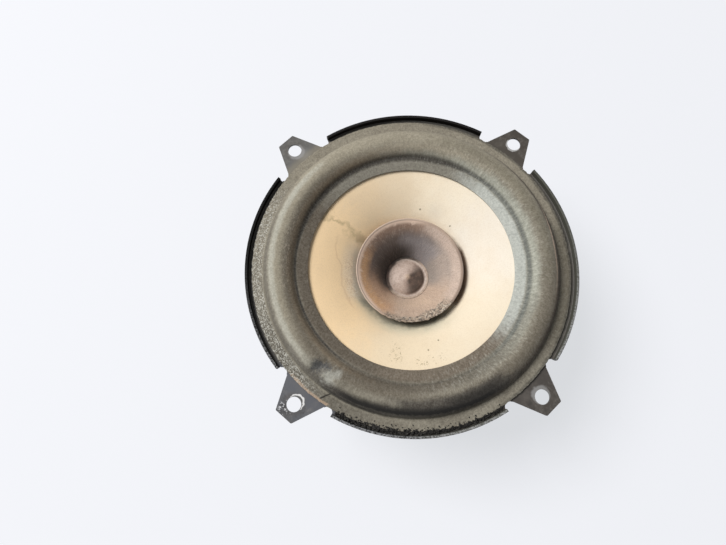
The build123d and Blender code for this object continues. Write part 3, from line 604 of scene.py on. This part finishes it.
def paint_material():
    """Black stove paint on the pressed basket: dusty, worn at the ears and on cut edges, with painted shade
    on the lips and a painted highlight on their inner sides at the right and the bottom.
    """
    shade = Shade("basket_paint", rough=0.55, Specular_IOR_Level=0.3)
    radius = shade.radius
    orange_peel = shade.noise(1.2, 2, 0.5, seed=41)
    dust = shade.noise(0.25, 4, 0.6, seed=42)
    speck = shade.noise(2.4, 3, 0.7, seed=43)
    lip = shade.times(shade.ease(radius, 63.3, 63.9), shade.ease(shade.z, 1.1, 1.6))
    front = shade.ease(shade.z, -0.6, 0.2)
    shade.ground(shade.z, -0.6, 0.2, (0.03, 0.029, 0.03), (0.06, 0.056, 0.05))
    for x, y, ear_tone in EAR_TONES:
        shade.paint(ear_tone, shade.spot(x, y, 14, 18), front)
    shade.paint((0.22, 0.2, 0.175), shade.ease(dust, 0.45, 0.75, 0, 0.2))
    # Painted shade: the lips are near black, slightly less at the top.
    lip_shade_tone = shade.mix(shade.facing(90, 25, 45), (0.004, 0.004, 0.004), (0.012, 0.011, 0.011))
    shade.paint(lip_shade_tone, lip)
    # Painted highlight: the lips' inner sides are lighter at the right and the bottom, where they face the
    # light.
    painted_lit_side = shade.times(lip, shade.fade(radius, 64.75, 64.9), shade.facing(-20, 52, 80))
    shade.paint((0.085, 0.085, 0.07), painted_lit_side, 0.8)
    on_ear = shade.times(shade.ease(radius, 66, 67), front)
    smears = shade.noise(0.35, 4, 0.7, 1.5, seed=44)
    shade.paint((0.035, 0.033, 0.031), on_ear, shade.ease(smears, 0.5, 0.66), 0.55)
    shade.paint((0.24, 0.225, 0.21), on_ear, shade.fade(smears, 0.34, 0.48), 0.3)
    shade.paint((0.04, 0.037, 0.034), shade.ease(radius, 71.5, 75.5, 0, 0.45))
    # Khaki dust that has spread from the foam onto the upper left ear.
    dusted = shade.fade(shade.plus(radius, shade.times(smears, 2)), 64.6, 67.6)
    shade.paint((0.165, 0.148, 0.115), dusted, shade.facing(131.7, 10, 12.4), front, 0.85)
    ragged = shade.stray(1.6, 0.75, 3, 0.6, seed=45)
    for x, y in HOLES:
        shade.paint((0.05, 0.042, 0.036), shade.spot(x, y, 3.2, 5.2, ragged), 0.45)
    for x, y, size, softness, share, brightness in CHIPS:
        grey = (brightness, brightness, 1.01 * brightness)
        shade.paint(grey, shade.spot(x, y, size, size + softness, ragged), share)
    # Flaked and sooty places left of the lower left hole.
    flaking = shade.spot(-49.4, -52.8, 1.2, 3.4, ragged)
    shade.paint((0.03, 0.03, 0.034), flaking, 0.6)
    flakes = shade.ease(shade.noise(1.5, 3, 0.7, seed=46), 0.54, 0.58)
    edge = shade.times(shade.ease(radius, 63.9, 64.3), shade.ease(shade.z, 3.35, 3.48))
    rubbed = shade.ease(shade.facing(-80, 30, 120), 0, 1, 0.01, 0.4)
    edge = shade.times(edge, shade.ease(speck, 0.4, 0.6), rubbed)
    metal = shade.most(shade.times(flaking, flakes, 0.85), edge)
    shade.paint((0.62, 0.63, 0.65), metal)
    shade.join("Metallic", shade.times(metal, 0.3))
    shade.join("Roughness", shade.ease(dust, 0.3, 0.7, 0.42, 0.62))
    shade.join("Specular IOR Level", shade.ease(shade.minus(lip, painted_lit_side), 0, 1, 0.35, 0.06))
    shade.bump(orange_peel, 0.05, 0.4)
    shade.bump(speck, 0.03, 0.3)
    return shade.painted()


def steel_material():
    """Zinc-plated motor steel, dulled, with turned rings on the faces."""
    shade = Shade("motor_steel", rough=0.42, metal=1)
    rings = shade.math("SINE", shade.times(shade.radius, 22))
    cloud = shade.noise(0.2, 4, 0.6, seed=51)
    shade.ground(cloud, 0.35, 0.7, (0.5, 0.49, 0.46), (0.62, 0.61, 0.6))
    shade.paint((0.2, 0.09, 0.04), shade.ease(shade.noise(0.45, 5, 0.65, seed=52), 0.62, 0.72, 0, 0.7))
    shade.join("Roughness", shade.ease(cloud, 0.3, 0.7, 0.34, 0.55))
    shade.bump(rings, 0.01, 0.3)
    return shade.painted()


def ferrite_material():
    """Sintered ferrite ring with a ground face, fine pits and chipped edges."""
    shade = Shade("ferrite", rough=0.7)
    grain = shade.noise(3, 3, 0.7, seed=61)
    chips = shade.ease(shade.noise(0.5, 4, 0.6, seed=62), 0.62, 0.7)
    shade.ground(grain, 0.3, 0.7, (0.05, 0.05, 0.055), (0.085, 0.085, 0.09))
    shade.paint((0.13, 0.125, 0.12), chips, 0.5)
    shade.bump(grain, 0.06, 0.6)
    shade.bump(chips, 0.08, 0.4)
    return shade.painted()


def plain_metal(name, dull, bright, rough, seed, grain_depth=0.02):
    """Small bright metal part with handling marks."""
    shade = Shade(name, rough=rough, metal=1)
    cloud = shade.noise(0.8, 4, 0.6, seed=seed)
    shade.ground(cloud, 0.35, 0.7, dull, bright)
    shade.join("Roughness", shade.ease(cloud, 0.3, 0.75, rough + 0.14, rough - 0.06))
    shade.bump(shade.noise(3.5, 2, 0.5, seed=seed + 0.5), grain_depth, 0.4)
    return shade.painted()


# The grain and the bumps of brushed-on glue: uneven, with small blobs.
GLUE = (0.9, 3, 0.55), (0.25, 0.5)


def grainy(name, rough, dark, light, grain, bump, seed, span=(0.3, 0.7), coat=0.0):
    """Plain material whose tone and bumps follow one noise."""
    shade = Shade(name, rough=rough, Coat_Weight=coat)
    lumps = shade.noise(*grain, seed=seed)
    shade.ground(lumps, *span, dark, light)
    shade.bump(lumps, *bump)
    return shade.painted()


def former_material():
    """Brown varnished paper sleeve."""
    return grainy("former_paper", 0.5, (0.38, 0.23, 0.11), (0.5, 0.33, 0.18), (1.6, 3, 0.6), (0.03, 0.4), 95)


def sealant_material():
    """Dried black sealant that has crumbled and picked up dust."""
    dark, light = (0.012, 0.011, 0.01), (0.12, 0.11, 0.09)
    return grainy("sealant", 0.8, dark, light, (2.2, 3, 0.7), (0.12, 0.7), 97, span=(0.55, 0.75))


def cloth_material():
    """Resin-stiffened cotton of the spider, woven square to the terminals."""
    shade = Shade("spider_cloth", rough=0.8, Sheen_Weight=0.15)
    warp, weft = (shade.math("SINE", shade.times(line, 2 * pi / 0.55)) for line in (shade.x, shade.y))
    weave = shade.times(warp, weft)
    slub = shade.noise(0.5, 3, 0.6, seed=71)
    shade.ground(slub, 0.3, 0.7, (0.45, 0.3, 0.12), (0.56, 0.4, 0.19))
    shade.paint((0.25, 0.15, 0.06), shade.ease(weave, -0.6, 0.8, 0, 0.3))
    shade.bump(weave, 0.07, 0.7)
    return shade.painted()


def tinsel_material():
    """Copper tinsel over a textile core, partly tinned."""
    shade = Shade("tinsel", rough=0.5, metal=0.85)
    strands = shade.noise(2.2, 3, 0.6, seed=81)
    shade.ground(strands, 0.35, 0.65, (0.5, 0.3, 0.18), (0.74, 0.6, 0.44))
    shade.bump(shade.noise(6, 2, 0.6, seed=82), 0.03, 0.5)
    return shade.painted()


def board_material():
    """Brown phenolic board with faint paper grain and pale sawn edges."""
    shade = Shade("board", rough=0.45)
    stretched = shade.add("ShaderNodeMapping", {"Vector": shade.at, "Scale": (0.25, 2.2, 2.2)})
    grain = shade.noise(1, 3, 0.6, at=stretched, seed=91)
    shade.ground(grain, 0.3, 0.7, (0.17, 0.085, 0.035), (0.28, 0.15, 0.07))
    shade.bump(grain, 0.04, 0.4)
    return shade.painted()


def winding_material():
    """Enamelled copper wire laid in close turns."""
    shade = Shade("copper_wire", rough=0.25, metal=1)
    turns = shade.math("SINE", shade.times(shade.z, 2 * pi / 0.2))
    shade.ground(turns, -1, 1, (0.35, 0.12, 0.04), (0.8, 0.38, 0.18))
    shade.bump(turns, 0.05, 0.8)
    return shade.painted()


# ---- Mesh helpers ----

def circle_through(p, q, r):
    """Centre and radius of the circle through three points."""
    d = 2 * (p[0] * (q[1] - r[1]) + q[0] * (r[1] - p[1]) + r[0] * (p[1] - q[1]))
    pp, qq, rr = (a * a + b * b for a, b in (p, q, r))
    x = (pp * (q[1] - r[1]) + qq * (r[1] - p[1]) + rr * (p[1] - q[1])) / d
    y = (pp * (r[0] - q[0]) + qq * (p[0] - r[0]) + rr * (q[0] - p[0])) / d
    return x, y, hypot(p[0] - x, p[1] - y)


def arc_points(points, count, above=0.0):
    """Evenly spaced points on the arc through three points, moved off it away from its centre."""
    x, y, size = circle_through(*points)
    angles = [atan2(b - y, a - x) for a, b in points]
    if abs(angles[2] - angles[0]) > pi:
        angles = [angle % (2 * pi) for angle in angles]
    turns = np.linspace(angles[0], angles[2], count)
    return np.column_stack([x + (size + above) * np.cos(turns), y + (size + above) * np.sin(turns)])


def run_lengths(line):
    """How far each point of a polyline is from its start, along it."""
    return np.concatenate([[0], np.cumsum(np.linalg.norm(np.diff(line, axis=0), axis=1))])


def directions(line):
    along = np.gradient(line, axis=0)
    return along / np.linalg.norm(along, axis=1)[:, None]


def resample(line, spacing):
    """Points at even steps along a polyline."""
    line = np.asarray(line, float)
    runs = run_lengths(line)
    steps = np.linspace(0, runs[-1], max(2, int(round(runs[-1] / spacing)) + 1))
    return np.column_stack([np.interp(steps, runs, line[:, axis]) for axis in range(line.shape[1])])


def soften(line, sigma):
    """Round a polyline's corners: a Gaussian over the points, with the ends held."""
    reach = int(3 * sigma) + 1
    weights = np.exp(-0.5 * (np.arange(-reach, reach + 1) / sigma) ** 2)
    weights /= weights.sum()
    before = 2 * line[0] - line[1:reach + 1][::-1]
    after = 2 * line[-1] - line[-reach - 1:-1][::-1]
    padded = np.vstack([before, line, after])
    return np.column_stack([np.convolve(padded[:, axis], weights, "valid") for axis in range(line.shape[1])])


def beside(line, distance):
    """The polyline moved sideways, to its left as it runs."""
    along = directions(line)
    return line + distance * np.column_stack([-along[:, 1], along[:, 0]])


def layer(face, thickness):
    """Closed outline of a layer that lies under a face line."""
    return np.vstack([face, beside(face, -thickness)[::-1]])


def turned(outline, segments, move):
    """Points of an outline of (radius, height) turned about the axis, in millimetres, and the index
    at which each segment and the one after it start.

    move takes arrays of radius, azimuth and height and returns new radii and heights.
    """
    count = len(outline)
    turn = np.repeat(np.linspace(0, 2 * pi, segments, endpoint=False), count)
    radius, height = move(np.tile(outline[:, 0], segments), turn, np.tile(outline[:, 1], segments))
    places = np.column_stack([radius * np.cos(turn), radius * np.sin(turn), height])
    return places, [(i * count, (i + 1) % segments * count) for i in range(segments)]


def lathe(name, outline, segments, move):
    """Closed ring surface from a closed outline."""
    places, starts = turned(outline, segments, move)
    count = len(outline)
    faces = []
    for here, there in starts:
        for j in range(count):
            k = (j + 1) % count
            faces.append((here + j, there + j, there + k, here + k))
    return build_mesh(name, places, faces)


def capped(name, outline, segments, move):
    """Like lathe, for an outline whose first and last points lie on the axis."""
    places, starts = turned(outline[1:-1], segments, move)
    end = len(outline) - 3
    first, last = len(places), len(places) + 1
    places = np.vstack([places, [(0, 0, outline[0, 1]), (0, 0, outline[-1, 1])]])
    faces = []
    for here, there in starts:
        faces.append((first, there, here))
        for j in range(end):
            faces.append((here + j, there + j, there + j + 1, here + j + 1))
        faces.append((last, here + end, there + end))
    return build_mesh(name, places, faces)


def build_mesh(name, places, faces, smooth=True):
    mesh = bpy.data.meshes.new(name)
    mesh.from_pydata([tuple(place) for place in np.asarray(places) * MM], [], faces)
    mesh.update()
    if smooth:
        mesh.polygons.foreach_set("use_smooth", [True] * len(mesh.polygons))
    return new_object(name, mesh)


def field(x, y, z, size, seed):
    """Smooth noise between about -1 and 1 at arrays of places, with features of the given size."""
    return np.array([
        noise.noise(Vector((a / size + seed, b / size - seed, c / size))) for a, b, c in zip(x, y, z)
    ])


def ring_field(radius, turn, across, along, seed):
    """Noise over a ring, with its own scale across and along the ring, closing at a full turn."""
    scale = radius.mean() / along
    return np.array([
        noise.noise(Vector((scale * cos(t) + seed, scale * sin(t), r / across)))
        for r, t in zip(radius, turn)
    ])


def step(value, low, high):
    share = np.clip((value - low) / (high - low), 0, 1)
    return share * share * (3 - 2 * share)


def bend_with(piece):
    """Bake the piece's placement into its mesh."""
    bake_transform(piece)


def bend_across(piece):
    """Bake the ring's placement into its mesh, as bend_with does."""
    bend_with(piece)


def wear(piece, material, slot_name, *nodes):
    """Give a piece its material and hide the CAD nodes that it stands for. slot_name is not used."""
    piece.data.materials.append(material)
    if nodes:
        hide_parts(*nodes)


# ---- Leads ----

def route_line(name, points):
    """Points in millimetres read from a NURBS spline on the route."""
    curve = bpy.data.curves.new(name + "_route", "CURVE")
    curve.dimensions = "3D"
    curve.resolution_u = 24
    spline = curve.splines.new("NURBS")
    spline.points.add(len(points) - 1)
    for target, place in zip(spline.points, points):
        target.co = (*place, 1)
    spline.order_u = 3
    spline.use_endpoint_u = True
    holder = bpy.data.objects.new(name + "_route", curve)
    mesh = bpy.data.meshes.new_from_object(holder)
    line = np.array([tuple(vertex.co) for vertex in mesh.vertices]) / MM
    bpy.data.objects.remove(holder)
    bpy.data.meshes.remove(mesh)
    bpy.data.curves.remove(curve)
    return resample(line, 0.09)


def braided_lead(name, material):
    """Flexible tinsel braid along its route, between the terminal and the cone."""
    line = route_line(name, ROUTES[name])
    along, runs = directions(line), run_lengths(line)
    side = np.cross(along[0], (1, 0, 0))
    sides = BRAID_SIDES
    turns = np.linspace(0, 2 * pi, sides, endpoint=False)
    ring = np.column_stack([np.cos(turns), np.sin(turns)])
    places = []
    for centre, direction, run in zip(line, along, runs):
        side = side - direction * (side @ direction)
        side /= np.linalg.norm(side)
        twist = run * 2 * pi / BRAID_PITCH
        over = np.abs(np.sin(BRAID_STRANDS * (turns + twist)))
        under = np.abs(np.sin(BRAID_STRANDS * (turns - twist)))
        radius = LEAD_DIAMETER / 2 * (0.84 + 0.16 * np.maximum(over, under))
        places.append(centre + radius[:, None] * (ring @ [side, np.cross(direction, side)]))
    count = len(line)
    faces = []
    for i in range(count - 1):
        for j in range(sides):
            k = (j + 1) % sides
            faces.append((i * sides + j, i * sides + k, (i + 1) * sides + k, (i + 1) * sides + j))
    faces.append(tuple(range(sides))[::-1])
    faces.append(tuple(range((count - 1) * sides, count * sides)))
    piece = build_mesh(name + "_braid", np.vstack(places), faces)
    wear(piece, material, "tinsel", name)
    bend_with(piece)


# ---- Soft and paper pieces ----

def foam_outline():
    """Top face of the foam from the band's inner edge to the outer edge, corners rounded."""
    x, y, size = circle_through(*CONE_POINTS)
    rim = CONE_POINTS[2]
    radii = (BAND_INNER, (BAND_INNER + rim[0]) / 2)
    on_cone = [(radius, y + sqrt(size ** 2 - (radius - x) ** 2)) for radius in radii]
    band = arc_points((*on_cone, rim), 12, FOAM_LIFT + FOAM_THICKNESS)
    roll = arc_points((tuple(band[-1]), ROLL_TOP, (ROLL_OUTER, FLAT_TOP)), 60)
    return soften(resample(np.vstack([band, roll[1:], [(FOAM_OUTER, FLAT_TOP)]]), 0.16), 3.2)


def make_surround(material):
    top = foam_outline()
    loose = step(top[:, 0], 46.5, 50.0) * (1 - step(top[:, 0], 56.0, 59.0))
    arch = np.tile(np.concatenate([loose, loose[::-1]]), FOAM_SEGMENTS)

    def move(radius, turn, height):
        x, y = radius * np.cos(turn), radius * np.sin(turn)
        swell = ring_field(radius, turn, 6.0, 9.0, 3.1)
        lumps = field(x, y, height, 2.2, 7.7)
        height = height + arch * (0.22 * swell + 0.07 * lumps) + step(radius, 58.5, 60.0) * 0.07 * lumps
        # The crushed place at the lower left, slanting across the roll.
        across = radius - DENT_RADIUS
        skew = 55.0 * np.angle(np.exp(1j * (turn - radians(DENT_TURN)))) + 0.35 * across
        dent = np.exp(-(skew / 2.3) ** 2 - (across / 3.6) ** 2)
        ridge = np.exp(-((skew - 4.0) / 1.3) ** 2 - (across / 3.4) ** 2)
        height = height - DENT_DEPTH * dent + 0.45 * ridge
        # A fine moulded line at the roll's outer foot.
        line = np.exp(-((radius - FOOT_LINE_RADIUS) / 0.28) ** 2)
        height = height + FOOT_LINE_HEIGHT * line * (1 + 0.5 * swell)
        # A frayed outer edge.
        fray = step(radius, 61.9, 62.6)
        radius = radius + fray * (0.22 * field(x, y, height, 1.1, 12.3) - 0.08)
        return radius, height

    piece = lathe("surround_foam", layer(top, FOAM_THICKNESS), FOAM_SEGMENTS, move)
    wear(piece, material, "foam", "surround")
    bend_across(piece)


def make_cone(material):
    def move(radius, turn, height):
        ease = step(radius, 12, 20) * (1 - step(radius, 36, 41))
        return radius, height + ease * 0.09 * ring_field(radius, turn, 9.0, 11.0, 21.5)

    piece = lathe("paper_cone", layer(arc_points(CONE_POINTS, 90), CONE_THICKNESS), CONE_SEGMENTS, move)
    wear(piece, material, "cone_paper", "cone")
    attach(piece, "cone_assembly")


def make_whizzer(material):
    """Horn with a neck inside the coil former and a thicker turned rim."""
    inner = arc_points(WHIZZER_POINTS, 70)
    outer = beside(inner, -WHIZZER_THICKNESS)
    thicker = step(inner[:, 0], *WHIZZER_RIM)[:, None]
    inner = inner + thicker * (beside(inner, WHIZZER_RIM_LIFT) - inner)
    along = inner[-1] - inner[-2]
    nose = (inner[-1] + outer[-1]) / 2 + along / np.linalg.norm(along) * WHIZZER_NOSE
    neck_inner, neck_outer = WHIZZER_POINTS[0][0], WHIZZER_POINTS[0][0] + WHIZZER_THICKNESS
    neck = [(neck_outer, WHIZZER_NECK[0]), (neck_outer, WHIZZER_NECK[1]), (neck_inner, WHIZZER_NECK[1])]
    outline = np.vstack([inner, [nose], outer[::-1], neck])

    def move(radius, turn, height):
        ease = step(radius, 14, 21)
        wobble = 0.12 * ring_field(radius, turn, 12.0, 9.0, 31.5)
        # The lower rim crumbles.
        low_side = step(np.cos(turn - radians(284.0)), cos(radians(62.0)), cos(radians(36.0)))
        crumble = step(radius, 20.6, 21.6) * (0.25 + low_side) * 0.2
        crumble = crumble * ring_field(radius, turn, 1.5, 0.8, 33.5)
        return radius + ease * wobble + crumble, height + ease * wobble - 0.6 * crumble

    piece = lathe("whizzer_horn", outline, WHIZZER_SEGMENTS, move)
    wear(piece, material, "whizzer_paper", "whizzer_cone")
    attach(piece, "cone_assembly")


def make_dust_cap(material):
    """Blunt cone with a small rounded tip, a valley and a raised flange ring."""
    low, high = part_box("dust_cap")
    seat, crown = low[2] / MM, high[2] / MM
    top = soften(resample([(radius, crown - depth) for radius, depth in CAP_PROFILE], 0.16), 1.6)
    bottom = np.array([(9.15, seat + 0.15), (8.9, seat), (6.6, seat), (0.0, crown - 0.4)])
    outline = np.vstack([top, resample(bottom, 0.5)])

    def move(radius, turn, height):
        return radius, height + 0.05 * ring_field(radius, turn, 4.0, 5.0, 41.5)

    piece = capped("dust_cap_dome", outline, CAP_SEGMENTS, move)
    wear(piece, material, "cap_paper", "dust_cap")
    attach(piece, "cone_assembly")


def make_spider(material):
    """Corrugated cloth disc; its waves share the travel between the ledge and the coil."""
    radius = np.linspace(SPIDER_INNER, SPIDER_OUTER, 230)
    phase = (radius - SPIDER_WAVE_START) / SPIDER_HALF_WAVE
    waving = (phase > 0) & (phase < SPIDER_HALF_WAVES)
    swing = np.where(waving, -SPIDER_WAVE_HEIGHT * np.sin(pi * phase), 0.0)
    middle = soften(np.column_stack([radius, SPIDER_BOTTOM + SPIDER_THICKNESS / 2 + swing]), 2.0)
    top, under = (beside(middle, side * SPIDER_THICKNESS / 2) for side in (1, -1))
    outline = np.vstack([top, under[::-1]])

    def move(radius, turn, height):
        return radius, height + 0.02 * ring_field(radius, turn, 3.0, 5.0, 51.5)

    piece = lathe("spider_cloth", outline, SPIDER_SEGMENTS, move)
    wear(piece, material, "spider_cloth", "spider")
    bend_across(piece)


def make_sealant(material):
    """Crumbled sealant between the foam's edge and the bottom lip, with crumbs on the foam."""
    rng = np.random.default_rng(5)
    shell = bmesh.new()
    for corner in CRUMB_CORNERS:
        shell.verts.new(Vector(corner).normalized())
    bmesh.ops.convex_hull(shell, input=shell.verts)
    bmesh.ops.recalc_face_normals(shell, faces=shell.faces)
    bmesh.ops.subdivide_edges(shell, edges=shell.edges, cuts=1, use_grid_fill=True)
    shell.verts.index_update()
    unit = np.array([tuple(vertex.co.normalized()) for vertex in shell.verts])
    cage = [[vertex.index for vertex in face.verts] for face in shell.faces]
    shell.free()
    places, faces = [], []

    def crumb(radius, angle, height, size):
        turn = radians(angle)
        shape = unit * (1 + 0.35 * rng.normal(size=(len(unit), 1)).clip(-1, 1))
        shape = shape * (size * rng.uniform(0.6, 1.2, 3))
        centre = np.array([radius * cos(turn), radius * sin(turn), height])
        start = len(places) * len(unit)
        places.append(shape + centre)
        faces.extend(tuple(start + i for i in face) for face in cage)

    for angle in np.arange(*CRUMB_ARC, CRUMB_STEP):
        size = rng.uniform(0.25, 0.62)
        crumb(rng.uniform(62.9, 63.5), angle, 1.0 + rng.uniform(0.2, 0.9), size)
        if rng.random() < 0.7:
            radius = rng.uniform(62.1, 63.1)
            crumb(radius, angle + rng.uniform(-0.2, 0.2), FLAT_TOP + rng.uniform(0.0, 0.3), size * 0.85)
    for _ in range(STRAY_CRUMBS):
        angle = rng.normal(266, 17)
        if 241 < angle < 299:
            crumb(FOAM_OUTER - abs(rng.normal(0, 0.8)), angle, FLAT_TOP + 0.05, rng.uniform(0.1, 0.3))
    piece = build_mesh("edge_sealant_crumbs", np.vstack(places), faces, smooth=False)
    wear(piece, material, "sealant", "edge_sealant")
    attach(piece, "chassis")


def dress(material, *nodes):
    """Give CAD nodes that stay their finished material."""
    for node in nodes:
        mesh = bpy.data.objects[node].data
        mesh.materials.clear()
        mesh.materials.append(material)


add_camera()
tinsel = tinsel_material()
for lead in ROUTES:
    braided_lead(lead, tinsel)
add_stage()

make_surround(foam_material())
make_cone(paper_material())
make_whizzer(whizzer_material())
make_dust_cap(cap_material())
make_spider(cloth_material())
make_sealant(sealant_material())

dress(paint_material(), "basket")
dress(steel_material(), "front_plate", "back_plate", "pole_piece")
rivet_steel = plain_metal("rivet_steel", (0.4, 0.39, 0.37), (0.62, 0.62, 0.61), 0.35, 53.0)
dress(rivet_steel, "motor_rivets", "board_rivet")
dress(ferrite_material(), "magnet")
terminal_metal = plain_metal("terminal_metal", (0.5, 0.45, 0.3), (0.75, 0.71, 0.6), 0.3, 54.0)
dress(terminal_metal, "positive_spade", "negative_spade", "terminal_rivets", "lead_eyelets")
solder = plain_metal("solder", (0.42, 0.43, 0.45), (0.68, 0.69, 0.7), 0.24, 55.0, 0.06)
dress(solder, "terminal_solder", "eyelet_solder")
cement = grainy("cement", 0.5, (0.2, 0.13, 0.05), (0.42, 0.3, 0.14), *GLUE, 56)
dress(cement, "surround_cement", "spider_cement")
dress(grainy("neck_glue", 0.3, (0.012, 0.011, 0.01), (0.035, 0.03, 0.026), *GLUE, 57, coat=0.5), "neck_glue")
dress(board_material(), "terminal_board")
dress(winding_material(), "voice_coil_winding", "coil_lead_wires")
dress(former_material(), "voice_coil_former")
